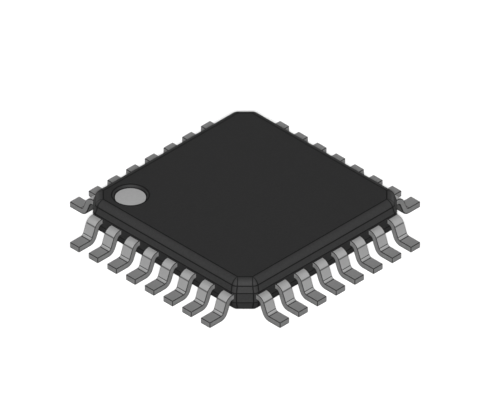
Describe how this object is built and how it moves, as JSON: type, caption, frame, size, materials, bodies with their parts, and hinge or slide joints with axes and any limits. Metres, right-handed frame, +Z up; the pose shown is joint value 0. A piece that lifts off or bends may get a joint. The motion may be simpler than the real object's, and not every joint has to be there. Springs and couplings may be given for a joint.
{
  "type": "quad flat pack chip",
  "caption": "Square surface-mount chip package: dark moulded body with drafted walls, clipped corners, a marked terminal corner and gull-wing leads on all sides.",
  "frame": {"origin": "centre of the seating plane, on the undersides of the lead feet", "axes": "+Z up out of the circuit board; the marked terminal corner is at -X, +Y; the terminals count counter-clockwise seen from above, down the -X side first"},
  "size_m": [0.009, 0.009, 0.0012],
  "materials": {
    "mould_compound": "matte, fine eroded texture",
    "marking_ink": "matte light grey ink",
    "tin_plated_lead": "matte tin plate on copper alloy",
    "lead_frame_copper": "bare rolled copper alloy",
    "die_attach_epoxy": "silver-filled epoxy",
    "silicon": "polished silicon",
    "bond_gold": "drawn gold wire"
  },
  "bodies": {
    "root": {"moulded_body": "mould_compound", "pin_one_mark": "marking_ink", "die_paddle": "lead_frame_copper", "die_attach": "die_attach_epoxy", "die": "silicon", "bond_wires_west": "bond_gold", "bond_wires_south": "bond_gold", "bond_wires_east": "bond_gold", "bond_wires_north": "bond_gold", "lead_01": "tin_plated_lead", "lead_02": "tin_plated_lead", "lead_03": "tin_plated_lead", "lead_04": "tin_plated_lead", "lead_05": "tin_plated_lead", "lead_06": "tin_plated_lead", "lead_07": "tin_plated_lead", "lead_08": "tin_plated_lead", "lead_09": "tin_plated_lead", "lead_10": "tin_plated_lead", "lead_11": "tin_plated_lead", "lead_12": "tin_plated_lead", "lead_13": "tin_plated_lead", "lead_14": "tin_plated_lead", "lead_15": "tin_plated_lead", "lead_16": "tin_plated_lead", "lead_17": "tin_plated_lead", "lead_18": "tin_plated_lead", "lead_19": "tin_plated_lead", "lead_20": "tin_plated_lead", "lead_21": "tin_plated_lead", "lead_22": "tin_plated_lead", "lead_23": "tin_plated_lead", "lead_24": "tin_plated_lead", "lead_25": "tin_plated_lead", "lead_26": "tin_plated_lead", "lead_27": "tin_plated_lead", "lead_28": "tin_plated_lead", "lead_29": "tin_plated_lead", "lead_30": "tin_plated_lead", "lead_31": "tin_plated_lead", "lead_32": "tin_plated_lead"}
  },
  "joints": []
}
